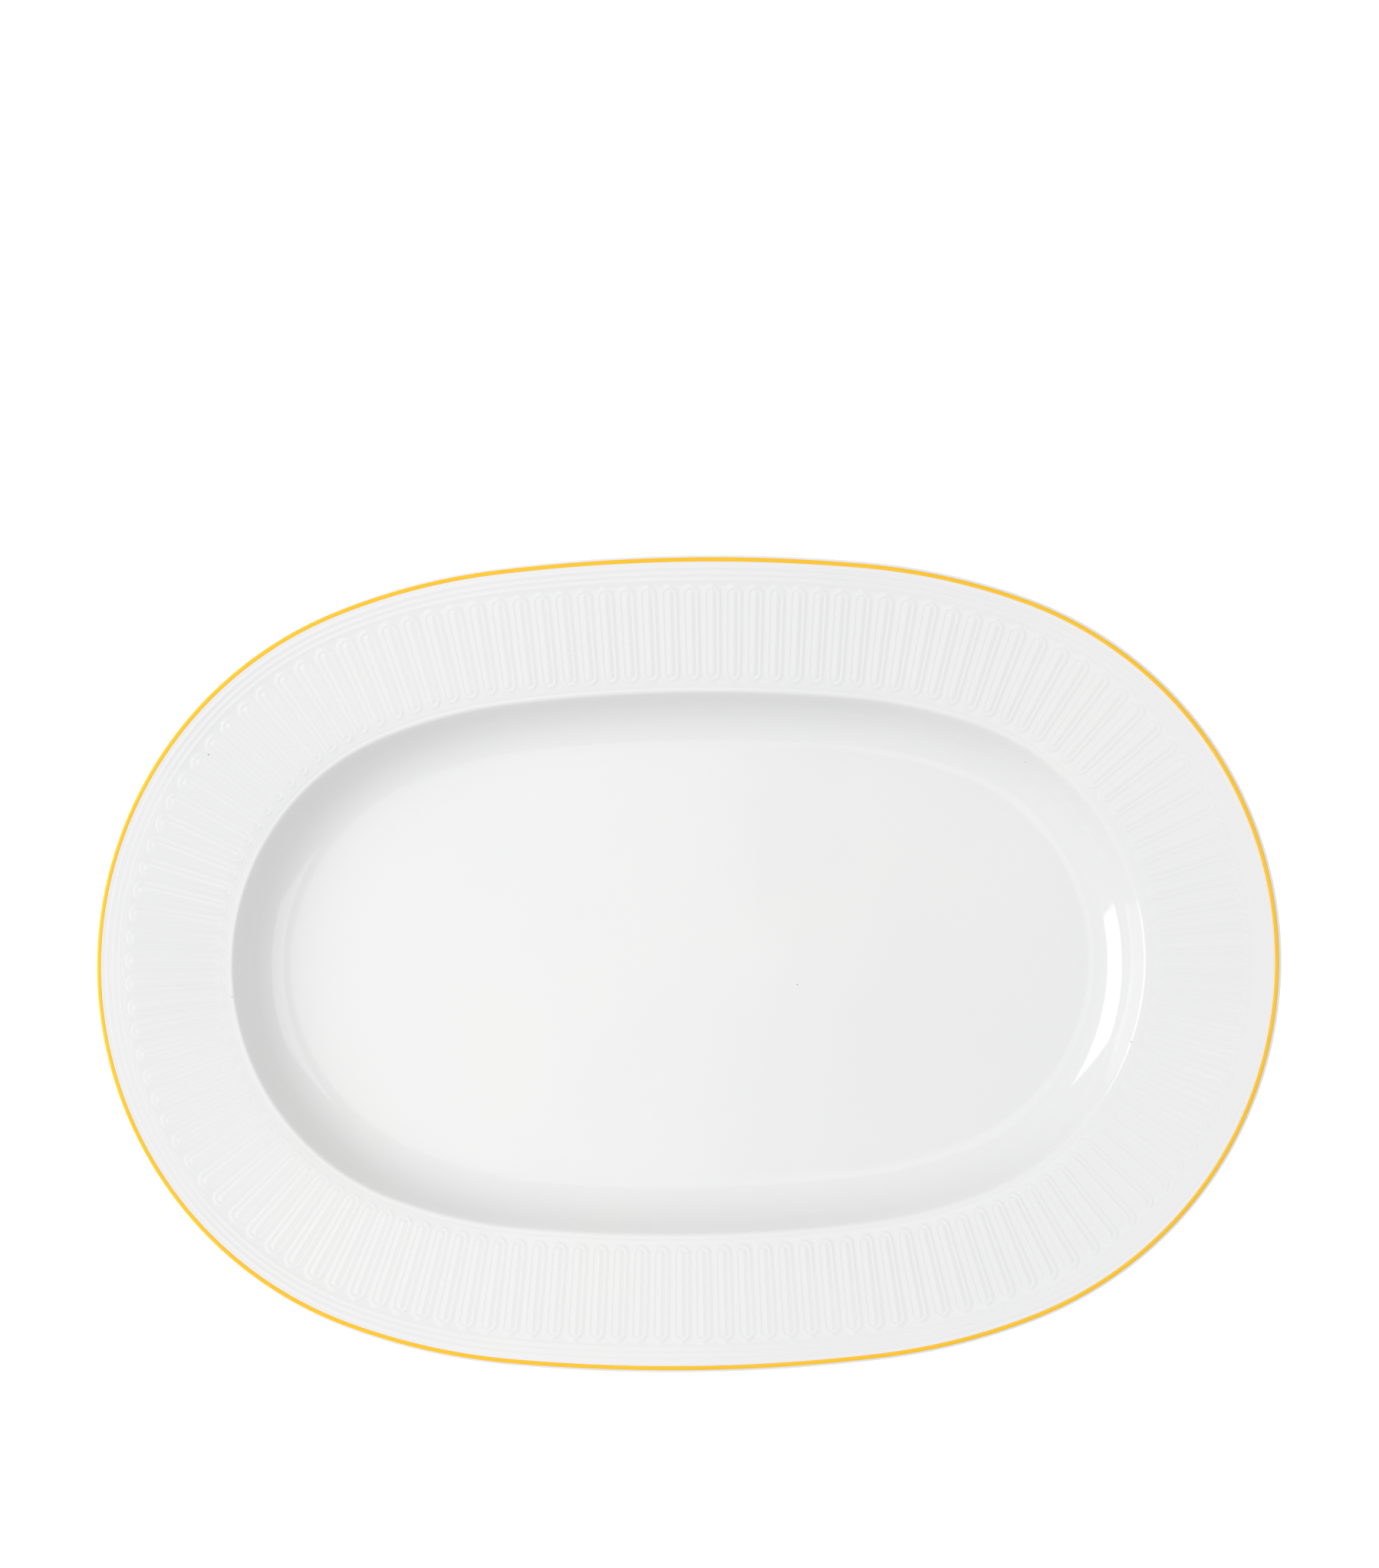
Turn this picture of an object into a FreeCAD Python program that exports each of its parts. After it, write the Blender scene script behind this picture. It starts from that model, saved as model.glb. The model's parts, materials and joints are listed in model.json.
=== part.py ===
"""An oval china serving platter with a fluted rim, a foot ring and a banded enamel line.

The platter stands on its foot ring: Z is up, z = 0 is the table, X runs along the long axis and Y
along the short one. "Inset" always means the level distance from the finished outer edge inwards.

The outline is an oval of tangent arcs. Each quarter has three: a tight one round the end, a wider one
at the corner and a nearly flat one along the side. Every other line of the platter runs parallel to
that outline, so one section swept along one quarter makes the ware, and two mirrors complete it.
"""

import FreeCAD, Part
import math
import os

import Sketcher
from FreeCAD import Matrix, Placement, Rotation, Vector

OUTPUT_FOLDER = "parts"
UP = Vector(0, 0, 1)
X_AXIS, Y_AXIS = -1, -2  # how a sketch names its own axes
START, END, CENTRE = 1, 2, 3  # the points of a line or an arc in a sketch

# Every driving size of the platter: millimetres, degrees and counts.
SIZES = {
    "overall_length": 400,
    "overall_width": 275,
    "corner_radius": 213,
    "end_arc_angle": 69,
    "side_arc_angle": 84,
    "rim_width": 45.8,
    "rim_rise": 7.8,
    "well_depth": 14.5,
    "wall_angle": 60,
    "shoulder_round": 1.5,
    "well_fillet": 19,
    "edge_thickness": 2.8,
    "edge_round": 1.3,
    "rim_thickness": 3.2,
    "wall_thickness": 4,
    "back_fillet": 9,
    "floor_thickness": 4.7,
    "floor_margin": 2,
    "foot_height": 4,
    "foot_width": 4.4,
    "foot_offset": 0.4,
    "foot_taper": 0.5,
    "foot_outside_height": 2.6,
    "foot_round": 0.8,
    "foot_fillet": 1.5,
    "foot_bare_height": 0.8,
    "glaze_thickness": 0.3,
    "flutes_per_quarter": 33,
    "flute_clearance": 1.9,
    "flute_margin": 3.6,
    "flute_gap": 0.46,
    "tongue_gap": 0.228,
    "tongue_rise": 0.35,
    "bead_radius": 0.9,
    "bead_rise": 0.2,
    "relief_root": 0.04,
    "reed_inset": 4.2,
    "reed_pitch": 2.05,
    "reed_count": 3,
    "reed_radius": 1.1,
    "reed_rise": 0.15,
    "enamel_inset": 1.5,
    "enamel_width": 1.3,
    "enamel_thickness": 0.12,
    "enamel_sink": 0.15,
}


def cell(name):
    """The expression that reads one size from the sheet."""
    return f"Sizes.{name}"


def size(name):
    """One size's number, read back from the sheet."""
    return float(sheet.get(name))


def value(expression):
    """What an expression over the sheet's sizes comes to."""
    return float(sheet.evalExpression(expression))


def add(kind, name):
    """Adds an object whose name in the document is also its label."""
    made = document.addObject(kind, name)
    made.Label = name
    return made


document = FreeCAD.newDocument("serving_platter")
sheet = add("Spreadsheet::Sheet", "Sizes")
for row, (alias, number) in enumerate(SIZES.items(), start=1):
    sheet.set(f"A{row}", alias)
    sheet.set(f"B{row}", str(number))
    sheet.setAlias(f"B{row}", alias)
document.recompute()

# ---------------------------------------------------------------------------------------------------
# Levels and insets that follow from the sizes, as expressions
# ---------------------------------------------------------------------------------------------------

HALF_LENGTH = f"({cell('overall_length')} / 2)"
HALF_WIDTH = f"({cell('overall_width')} / 2)"
GLAZE = cell("glaze_thickness")
FLOOR_LEVEL = f"({cell('foot_height')} + {cell('floor_thickness')})"
SHOULDER_LEVEL = f"({FLOOR_LEVEL} + {cell('well_depth')})"
LIP_LEVEL = f"({SHOULDER_LEVEL} + {cell('rim_rise')})"
RIM_FALL = f"({cell('rim_rise')} / ({cell('rim_width')} - {GLAZE}))"
WALL_FOOT_INSET = f"({cell('rim_width')} + {cell('well_depth')} / tan({cell('wall_angle')}))"
FILLET_REACH = f"({cell('well_fillet')} * tan({cell('wall_angle')} / 2))"
FLOOR_INSET = f"({WALL_FOOT_INSET} + {FILLET_REACH} + {cell('floor_margin')})"
FOOT_INSET = f"({WALL_FOOT_INSET} - {cell('foot_offset')})"
FOOT_INNER_INSET = f"({FOOT_INSET} + {cell('foot_width')})"
# The flutes fill the rim from just inside the last reed to just short of the shoulder.
LAST_REED_INSET = f"({cell('reed_inset')} + ({cell('reed_count')} - 1) * {cell('reed_pitch')})"
FLUTE_START = f"({LAST_REED_INSET} + {cell('flute_clearance')})"
FLUTE_END = f"({cell('rim_width')} - {cell('flute_margin')})"
FLUTE_MIDDLE = f"(({FLUTE_START} + {FLUTE_END}) / 2)"
# Halfway across the foot ring's bare land, where the outer glaze and the base panel are told apart.
FOOT_MIDDLE_INSET = f"({FOOT_INSET} + {cell('foot_width')} / 2)"


def closing_radii():
    """The end and side radii that close a quarter of the outline, as two expressions.

    Going round the quarter, each arc adds radius times the change of cosine to the half length and
    radius times the change of sine to the half width. With the corner radius and both angles given,
    those are two linear equations for the other two radii, solved here by Cramer's rule.
    """
    corner = cell("corner_radius")
    end, side = cell("end_arc_angle"), cell("side_arc_angle")
    end_x, side_x = f"(1 - cos({end}))", f"cos({side})"
    end_y, side_y = f"sin({end})", f"(1 - sin({side}))"
    left_x = f"({HALF_LENGTH} - {corner} * (cos({end}) - cos({side})))"
    left_y = f"({HALF_WIDTH} - {corner} * (sin({side}) - sin({end})))"
    determinant = f"({end_x} * {side_y} - {side_x} * {end_y})"
    end_radius = f"(({left_x} * {side_y} - {side_x} * {left_y}) / {determinant})"
    side_radius = f"(({end_x} * {left_y} - {end_y} * {left_x}) / {determinant})"
    return end_radius, side_radius


END_RADIUS, SIDE_RADIUS = closing_radii()


def outline_arcs():
    """The quarter outline's three arcs, each as centre, radius, start angle and end angle."""
    end_angle = math.radians(size("end_arc_angle"))
    side_angle = math.radians(size("side_arc_angle"))
    end_radius, side_radius = value(END_RADIUS), value(SIDE_RADIUS)
    corner_radius = size("corner_radius")
    end_centre = Vector(value(HALF_LENGTH) - end_radius, 0, 0)
    to_corner = Vector(math.cos(end_angle), math.sin(end_angle), 0)
    corner_centre = end_centre + to_corner * (end_radius - corner_radius)
    side_centre = Vector(0, value(HALF_WIDTH) - side_radius, 0)
    return [
        (end_centre, end_radius, 0, end_angle),
        (corner_centre, corner_radius, end_angle, side_angle),
        (side_centre, side_radius, side_angle, math.pi / 2),
    ]


# ---------------------------------------------------------------------------------------------------
# Sketches
# ---------------------------------------------------------------------------------------------------


def bind(sketch, expression, kind, *where):
    """Adds a dimension whose number is worked out from the sheet."""
    index = sketch.addConstraint(Sketcher.Constraint(kind, *where, value(expression)))
    sketch.setExpression(f"Constraints[{index}]", expression)


def tie(sketch, kind, *where):
    """Adds a constraint that has no number."""
    sketch.addConstraint(Sketcher.Constraint(kind, *where))


def quarter_outline(name, inset):
    """Draws the quarter outline at one inset on the XY plane; returns the sketch and its arcs."""
    sketch = add("Sketcher::SketchObject", name)
    radii = [f"{radius} - {inset}" for radius in (END_RADIUS, cell("corner_radius"), SIDE_RADIUS)]
    arcs = []
    for (centre, _, start, end), radius in zip(outline_arcs(), radii):
        circle = Part.Circle(centre, UP, value(radius))
        arcs.append(sketch.addGeometry(Part.ArcOfCircle(circle, start, end)))
        bind(sketch, radius, "Radius", arcs[-1])
    end_arc, corner_arc, side_arc = arcs
    tie(sketch, "Tangent", end_arc, END, corner_arc, START)
    tie(sketch, "Tangent", corner_arc, END, side_arc, START)
    tie(sketch, "PointOnObject", end_arc, CENTRE, X_AXIS)
    tie(sketch, "PointOnObject", end_arc, START, X_AXIS)
    tie(sketch, "PointOnObject", side_arc, CENTRE, Y_AXIS)
    tie(sketch, "PointOnObject", side_arc, END, Y_AXIS)
    bind(sketch, f"{HALF_LENGTH} - {inset}", "DistanceX", end_arc, START)
    bind(sketch, f"{HALF_WIDTH} - {inset}", "DistanceY", side_arc, END)
    return sketch, arcs


def quarter_plate(name, inset, level, thickness):
    """A flat quarter plate inside one inset, from a level up: the outline closed along both axes."""
    sketch, (end_arc, _, side_arc) = quarter_outline(f"{name}_outline", inset)
    first = Vector(value(HALF_LENGTH) - value(inset), 0, 0)
    last = Vector(0, value(HALF_WIDTH) - value(inset), 0)
    down = sketch.addGeometry(Part.LineSegment(last, Vector(0, 0, 0)))
    out = sketch.addGeometry(Part.LineSegment(Vector(0, 0, 0), first))
    tie(sketch, "Coincident", side_arc, END, down, START)
    tie(sketch, "Coincident", down, END, out, START)
    tie(sketch, "Coincident", down, END, X_AXIS, START)
    tie(sketch, "Coincident", out, END, end_arc, START)
    sketch.setExpression("Placement.Base.z", level)
    plate = add("Part::Extrusion", name)
    plate.Base = sketch
    plate.DirMode = "Custom"
    plate.Dir = UP
    plate.Solid = True
    plate.setExpression("LengthFwd", thickness)
    return plate


def unit(vector):
    """The same direction, one long."""
    return vector * (1 / vector.Length)


def rounded(before, corner, after, radius):
    """The arc that rounds a corner: its two tangent points and the point halfway along it."""
    back, ahead = unit(before - corner), unit(after - corner)
    half_angle = back.getAngle(ahead) / 2
    reach = radius / math.tan(half_angle)
    bisector = unit(back + ahead)
    centre = corner + bisector * (radius / math.sin(half_angle))
    return corner + back * reach, centre - bisector * radius, corner + ahead * reach


def section_sketch(name, corners):
    """Draws a closed section on the XZ plane, where it crosses the long axis.

    Each corner is (inset, level, rounding) as expressions; a rounding of None leaves it sharp. A
    rounded corner keeps a construction point where its two lines would meet, and that point carries
    the dimensions.
    """
    sketch = add("Sketcher::SketchObject", name)
    sketch.Placement = Placement(Vector(0, 0, 0), Rotation(Vector(1, 0, 0), 90))
    count = len(corners)
    points = [Vector(value(HALF_LENGTH) - value(inset), value(level), 0) for inset, level, _ in corners]
    bends = []
    for i, (_, _, rounding) in enumerate(corners):
        if rounding is None:
            bends.append((points[i], None, points[i]))
        else:
            bends.append(rounded(points[i - 1], points[i], points[(i + 1) % count], value(rounding)))
    lines = []
    for i in range(count):
        segment = Part.LineSegment(bends[i][2], bends[(i + 1) % count][0])
        lines.append(sketch.addGeometry(segment))
    for i, (inset, level, rounding) in enumerate(corners):
        line_in, line_out = lines[i - 1], lines[i]
        if rounding is None:
            tie(sketch, "Coincident", line_in, END, line_out, START)
            marker, spot = line_out, START
        else:
            arc = sketch.addGeometry(Part.Arc(*bends[i]))
            # An arc in a sketch always runs anticlockwise, whichever way its three points were given.
            forwards = (sketch.getPoint(arc, START) - bends[i][0]).Length < 1e-6
            first, last = (START, END) if forwards else (END, START)
            tie(sketch, "Tangent", line_in, END, arc, first)
            tie(sketch, "Tangent", arc, last, line_out, START)
            bind(sketch, rounding, "Radius", arc)
            marker, spot = sketch.addGeometry(Part.Point(points[i]), True), START
            tie(sketch, "PointOnObject", marker, spot, line_in)
            tie(sketch, "PointOnObject", marker, spot, line_out)
        bind(sketch, f"{HALF_LENGTH} - {inset}", "DistanceX", marker, spot)
        if level == "0":
            tie(sketch, "PointOnObject", marker, spot, X_AXIS)
        else:
            bind(sketch, level, "DistanceY", marker, spot)
    return sketch


# ---------------------------------------------------------------------------------------------------
# Operations shared by the pieces
# ---------------------------------------------------------------------------------------------------


def swept(name, section):
    """Sweeps a section along the quarter outline into a solid."""
    ring = add("Part::Sweep", name)
    ring.Sections = [section]
    ring.Spine = (outline, ["Edge1", "Edge2", "Edge3"])
    ring.Solid = True
    ring.Frenet = True
    return ring


def joined(name, pieces):
    """One solid from pieces that touch or overlap."""
    whole = add("Part::MultiFuse", name)
    whole.Shapes = pieces
    whole.Refine = True
    return whole


def cut(name, base, tool):
    """The base with the tool's space taken away."""
    remainder = add("Part::Cut", name)
    remainder.Base = base
    remainder.Tool = tool
    return remainder


def mirrored(source, normal):
    """A piece's mirror image in the plane through the platter's centre."""
    image = add("Part::Mirroring", f"{source.Name}_mirrored")
    image.Source = source
    image.Base = Vector(0, 0, 0)
    image.Normal = normal
    return image


def completed(name, quarter):
    """The whole oval piece from its quarter, by two mirrors."""
    half = joined(f"{name}_half", [quarter, mirrored(quarter, Vector(1, 0, 0))])
    return joined(name, [half, mirrored(half, Vector(0, 1, 0))])


# ---------------------------------------------------------------------------------------------------
# Relief of the rim: reeds near the lip, and a ring of flutes
# ---------------------------------------------------------------------------------------------------


def flute(coat):
    """One flute lying along X with its outer end at the origin, under a coat of the given thickness.

    It is a low rounded tongue inside a raised bead shaped like a race-track. Both are the tops of
    sunken round bars, kept from just under the rim's surface upwards. A coat makes the bars fatter
    round the same centre lines, as a layer of glaze does.
    """
    length = (value(FLUTE_END) - value(FLUTE_START)) / math.cos(rim_angle())
    bead, rise = size("bead_radius"), size("tongue_rise")
    bead_depth = bead - size("bead_rise")
    bead_half_width = math.sqrt(bead**2 - bead_depth**2)
    # From the flute's centre line to the bead's: neighbours keep a gap where they stand closest.
    spread = (closest_pitch() - size("flute_gap")) / 2 - bead_half_width
    # The tongue fills the bead's inside up to a gap, as the arc of that width and its rise.
    tongue_half_width = spread - bead_half_width - size("tongue_gap")
    tongue = (tongue_half_width**2 + rise**2) / (2 * rise)
    first = spread + bead_half_width
    straight = length - 2 * first
    tongue_centre = Vector(first, 0, rise - tongue)
    along = Vector(1, 0, 0)
    bar = Part.makeCylinder(tongue + coat, straight, tongue_centre, along)
    near_end = Part.makeSphere(tongue + coat, tongue_centre)
    far_end = Part.makeSphere(tongue + coat, tongue_centre + along * straight)
    tongue_solid = bar.fuse([near_end, far_end])

    near_centre = Vector(first, 0, -bead_depth)
    far_centre = near_centre + along * straight
    near_bend = Part.makeTorus(spread, bead + coat, near_centre, UP, -180, 180, 180)
    near_bend.rotate(near_centre, UP, 90)
    far_bend = Part.makeTorus(spread, bead + coat, far_centre, UP, -180, 180, 180)
    far_bend.rotate(far_centre, UP, -90)
    side_bars = [
        Part.makeCylinder(bead + coat, straight, near_centre + Vector(0, side * spread, 0), along)
        for side in (-1, 1)
    ]
    bead_solid = near_bend.fuse([far_bend] + side_bars)

    root = coat - size("relief_root")
    room = tongue + bead
    kept = Part.makeBox(length + 2 * room, 4 * room, room, Vector(-room, -2 * room, root))
    return tongue_solid.fuse(bead_solid).common(kept)


def rim_angle():
    """How steeply the rim falls from the lip to the shoulder, in radians."""
    return math.atan(value(RIM_FALL))


def flute_spacing():
    """The lengths of the quarter's arcs along the middle of the fluted band, and the flutes' pitch."""
    middle = value(FLUTE_MIDDLE)
    lengths = [(radius - middle) * (end - start) for _, radius, start, end in outline_arcs()]
    return lengths, sum(lengths) / round(size("flutes_per_quarter"))


def closest_pitch():
    """How far apart two flutes are at their inner ends, on the arc that draws them together most."""
    _, pitch = flute_spacing()
    middle, inner = value(FLUTE_MIDDLE), value(FLUTE_END)
    return pitch * min((radius - inner) / (radius - middle) for _, radius, _, _ in outline_arcs())


def flute_stations():
    """Where the quarter's flutes go: each one's arc centre, arc radius and angle.

    They are spaced evenly along the line that runs round the middle of the fluted band, starting
    half a pitch from the long axis, so the mirrors keep the pitch.
    """
    middle = value(FLUTE_MIDDLE)
    arcs = outline_arcs()
    lengths, pitch = flute_spacing()
    for k in range(round(size("flutes_per_quarter"))):
        along = (k + 0.5) * pitch
        arc = 0
        while along > lengths[arc] and arc < len(arcs) - 1:
            along -= lengths[arc]
            arc += 1
        centre, radius, start, _ = arcs[arc]
        yield centre, radius, start + along / (radius - middle)


def fluting(name, coat):
    """All of a quarter's flutes, set on the rim, as one feature."""
    pattern = flute(coat)
    fall = rim_angle()
    start, edge = value(FLUTE_START), size("glaze_thickness")
    level = value(LIP_LEVEL) - (start - edge) * math.tan(fall)
    solids = []
    for centre, radius, angle in flute_stations():
        outward = Vector(math.cos(angle), math.sin(angle), 0)
        inward_down = outward * -math.cos(fall) + UP * -math.sin(fall)
        normal = outward * -math.sin(fall) + UP * math.cos(fall)
        sideways = normal.cross(inward_down)
        origin = centre + outward * (radius - start) + UP * level
        frame = Matrix(
            inward_down.x, sideways.x, normal.x, origin.x,
            inward_down.y, sideways.y, normal.y, origin.y,
            inward_down.z, sideways.z, normal.z, origin.z,
            0, 0, 0, 1,
        )
        placed = pattern.copy()
        placed.Placement = Placement(frame)
        solids.extend(placed.Solids)
    feature = add("Part::Feature", name)
    feature.Shape = Part.makeCompound(solids)
    feature.Placement = Placement()
    return feature


def reeds(name, coat):
    """The fine raised rings near the lip: the tops of sunken round bars swept round the outline."""
    rings = []
    sunk = f"({cell('reed_radius')} - {cell('reed_rise')})"
    for k in range(round(size("reed_count"))):
        inset = f"({cell('reed_inset')} + {k} * {cell('reed_pitch')})"
        level = f"({LIP_LEVEL} - ({inset} - {GLAZE}) * {RIM_FALL} - {sunk})"
        sketch = add("Sketcher::SketchObject", f"{name}_{k + 1}_section")
        sketch.Placement = Placement(Vector(0, 0, 0), Rotation(Vector(1, 0, 0), 90))
        middle = Vector(value(HALF_LENGTH) - value(inset), value(level), 0)
        radius = f"{cell('reed_radius')} + {coat}"
        ring = sketch.addGeometry(Part.Circle(middle, UP, value(radius)))
        bind(sketch, radius, "Radius", ring)
        bind(sketch, f"{HALF_LENGTH} - {inset}", "DistanceX", ring, CENTRE)
        bind(sketch, level, "DistanceY", ring, CENTRE)
        rings.append(swept(f"{name}_{k + 1}", sketch))
    return rings


# ---------------------------------------------------------------------------------------------------
# China body: the fired clay
# ---------------------------------------------------------------------------------------------------

outline, _ = quarter_outline("outline", "0")

UNDERSIDE_LEVEL = f"({SHOULDER_LEVEL} - {cell('rim_thickness')})"
CHINA_SECTION = [
    (GLAZE, LIP_LEVEL, cell("edge_round")),
    (cell("rim_width"), SHOULDER_LEVEL, cell("shoulder_round")),
    (WALL_FOOT_INSET, FLOOR_LEVEL, cell("well_fillet")),
    (FLOOR_INSET, FLOOR_LEVEL, None),
    (FLOOR_INSET, cell("foot_height"), None),
    (FOOT_INNER_INSET, cell("foot_height"), cell("foot_fillet")),
    (f"({FOOT_INNER_INSET} - {cell('foot_taper')})", "0", cell("foot_round")),
    (f"({FOOT_INSET} + {cell('foot_taper')})", "0", cell("foot_round")),
    (FOOT_INSET, cell("foot_outside_height"), cell("foot_round")),
    (f"({cell('rim_width')} - {cell('wall_thickness')})", UNDERSIDE_LEVEL, cell("back_fillet")),
    (GLAZE, f"({LIP_LEVEL} - {cell('edge_thickness')})", cell("edge_round")),
]
china_section = section_sketch("china_section", CHINA_SECTION)
china_ring = swept("china_ring", china_section)
china_floor = quarter_plate("china_floor", FLOOR_INSET, cell("foot_height"), cell("floor_thickness"))
china_quarter = joined(
    "china_quarter",
    [china_ring, china_floor, fluting("china_flutes", 0)] + reeds("china_reed", "0"),
)
china_body = completed("china_body", china_quarter)

# ---------------------------------------------------------------------------------------------------
# Enamel line: a thin band just inside the lip, which the firing sinks partly into the glaze
# ---------------------------------------------------------------------------------------------------


def above_rim(inset, height):
    """A level some way above the bare rim's slope at an inset."""
    return f"({LIP_LEVEL} - ({inset} - {GLAZE}) * {RIM_FALL} + {height})"


COATED = f"({GLAZE} * sqrt(1 + {RIM_FALL}^2))"
RIM_TILT = f"atan({RIM_FALL})"
# The glazed lip is round as far in as this, and from there on it is the rim's straight slope.
LIP_ROUND = f"({cell('edge_round')} + {GLAZE})"
LIP_ROUND_INSET = f"({LIP_ROUND} * (1 + sin({RIM_TILT})))"


def above_lip(inset, height):
    """A level some way above the glazed lip's round part at an inset."""
    centre = above_rim(LIP_ROUND_INSET, f"{COATED} - {LIP_ROUND} * cos({RIM_TILT})")
    return f"({centre} + sqrt({LIP_ROUND}^2 - ({LIP_ROUND} - {inset})^2) + {height})"


OUTER_INSET = f"({cell('enamel_inset')} - {cell('enamel_width')} / 2)"
INNER_INSET = f"({cell('enamel_inset')} + {cell('enamel_width')} / 2)"
ROUND_MIDDLE_INSET = f"(({OUTER_INSET} + {LIP_ROUND_INSET}) / 2)"


def along_glaze(height):
    """Section corners that follow the glaze's surface across the band, some way above it."""
    on_slope = f"{COATED} + {height}"
    return [
        (OUTER_INSET, above_lip(OUTER_INSET, height), None),
        (ROUND_MIDDLE_INSET, above_lip(ROUND_MIDDLE_INSET, height), None),
        (LIP_ROUND_INSET, above_rim(LIP_ROUND_INSET, on_slope), None),
        (INNER_INSET, above_rim(INNER_INSET, on_slope), None),
    ]


ENAMEL_SECTION = along_glaze(cell("enamel_thickness")) + along_glaze(f"(-{cell('enamel_sink')})")[::-1]
enamel_quarter = swept("enamel_quarter", section_sketch("enamel_section", ENAMEL_SECTION))
enamel_line = completed("enamel_line", enamel_quarter)

# ---------------------------------------------------------------------------------------------------
# Glaze: everything within one coat of the china, less the china, the enamel and the wiped foot
# ---------------------------------------------------------------------------------------------------

coated_section = add("Part::Offset2D", "coated_section")
coated_section.Source = china_section
coated_section.setExpression("Value", GLAZE)
coated_ring = swept("coated_ring", coated_section)
coated_floor = quarter_plate(
    "coated_floor",
    FLOOR_INSET,
    f"({cell('foot_height')} - {GLAZE})",
    f"({cell('floor_thickness')} + 2 * {GLAZE})",
)
coated_quarter = joined(
    "coated_quarter",
    [coated_ring, coated_floor, fluting("coated_flutes", size("glaze_thickness"))]
    + reeds("coated_reed", GLAZE),
)
glaze_quarter = cut("glaze_quarter", cut("whole_coat", coated_quarter, china_quarter), enamel_quarter)


# Two blocks part the skin: one takes away what would cover the standing foot, and the other, which
# reaches from below the foot to half the floor's thickness, holds what lies inside the foot ring.
BELOW_FOOT = f"(-2 * {GLAZE})"
wiped_foot = quarter_plate(
    "wiped_foot", "0", BELOW_FOOT, f"({cell('foot_bare_height')} - {BELOW_FOOT})"
)
base_space = quarter_plate(
    "base_space",
    FOOT_MIDDLE_INSET,
    BELOW_FOOT,
    f"({cell('foot_height')} + {cell('floor_thickness')} / 2 - {BELOW_FOOT})",
)
base_quarter = add("Part::Common", "base_quarter")
base_quarter.Base = glaze_quarter
base_quarter.Tool = base_space
glaze_base_panel = completed("glaze_base_panel", cut("base_quarter_wiped", base_quarter, wiped_foot))
outer_quarter = cut("outer_quarter", glaze_quarter, base_space)
glaze_coat = completed("glaze_coat", cut("outer_quarter_wiped", outer_quarter, wiped_foot))

# ---------------------------------------------------------------------------------------------------
# Recompute, check and write
# ---------------------------------------------------------------------------------------------------

document.recompute()

faults = [item.Label for item in document.Objects if {"Invalid", "Error"} & set(item.State)]
if faults:
    raise RuntimeError(f"failed objects: {faults}")

sub_parts = [china_body, glaze_coat, glaze_base_panel, enamel_line]
for part in sub_parts:
    shape = part.Shape
    if shape.isNull() or not shape.isValid() or len(shape.Solids) != 1:
        raise RuntimeError(f"{part.Label} is not one valid solid")

os.makedirs(OUTPUT_FOLDER, exist_ok=True)
for part in sub_parts:
    part.Shape.exportStep(os.path.join(OUTPUT_FOLDER, f"{part.Label}.step"))
    box = part.Shape.optimalBoundingBox(True, False)
    print(
        f"{part.Label}: {part.Shape.Volume / 1000:.1f} cm3, {len(part.Shape.Faces)} faces, "
        f"{box.XLength:.2f} x {box.YLength:.2f} x {box.ZLength:.2f} mm, "
        f"z {box.ZMin:.2f} to {box.ZMax:.2f}"
    )
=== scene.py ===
# %% [markdown]
# # An oval china serving platter
#
# The platter is one shell of fired clay with a coat of clear glaze over it, wiped off the foot that
# stands on the table, and a brushed line of yellow enamel just inside the lip. Everything on it runs
# parallel to one oval outline. So the whole lesson rests on one idea: work out the outline once, as
# arrays of points, and carry one cross-section round it.
#
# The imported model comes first. It is the measured frame that every piece has to fit.

# %% Load the frame
import json
import math

import bpy
import numpy as np
from mathutils import Matrix, Vector


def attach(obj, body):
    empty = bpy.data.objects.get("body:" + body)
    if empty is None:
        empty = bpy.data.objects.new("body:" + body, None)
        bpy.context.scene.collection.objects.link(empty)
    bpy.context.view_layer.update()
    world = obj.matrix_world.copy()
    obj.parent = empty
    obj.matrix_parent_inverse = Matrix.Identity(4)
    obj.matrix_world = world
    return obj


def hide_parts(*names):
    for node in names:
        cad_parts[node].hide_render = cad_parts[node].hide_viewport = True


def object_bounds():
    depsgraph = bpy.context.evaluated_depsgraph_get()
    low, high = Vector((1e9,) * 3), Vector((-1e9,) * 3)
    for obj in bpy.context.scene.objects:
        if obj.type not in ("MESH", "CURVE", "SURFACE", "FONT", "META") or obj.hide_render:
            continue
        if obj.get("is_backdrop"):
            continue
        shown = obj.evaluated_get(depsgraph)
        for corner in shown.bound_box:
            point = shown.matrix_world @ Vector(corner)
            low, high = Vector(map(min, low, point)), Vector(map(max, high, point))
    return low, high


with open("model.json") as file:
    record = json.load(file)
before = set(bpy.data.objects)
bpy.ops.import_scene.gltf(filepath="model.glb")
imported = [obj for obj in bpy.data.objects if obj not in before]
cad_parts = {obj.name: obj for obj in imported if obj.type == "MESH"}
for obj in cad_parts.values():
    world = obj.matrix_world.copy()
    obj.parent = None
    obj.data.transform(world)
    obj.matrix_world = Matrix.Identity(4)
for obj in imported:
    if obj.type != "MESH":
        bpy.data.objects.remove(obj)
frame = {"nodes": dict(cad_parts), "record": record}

cad_low, cad_high = (np.array(corner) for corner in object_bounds())
print("frame box in metres:", cad_low.round(5), cad_high.round(5))
print("nodes:", sorted(frame["nodes"]))

# %% [markdown]
# ## The sizes
#
# The length and the width come from the frame. The rest are the platter's own sizes in millimetres, as
# a potter would write them on a drawing. "Inset" is the level distance in from the finished outer edge,
# and a section corner is (inset, height, rounding).

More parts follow.
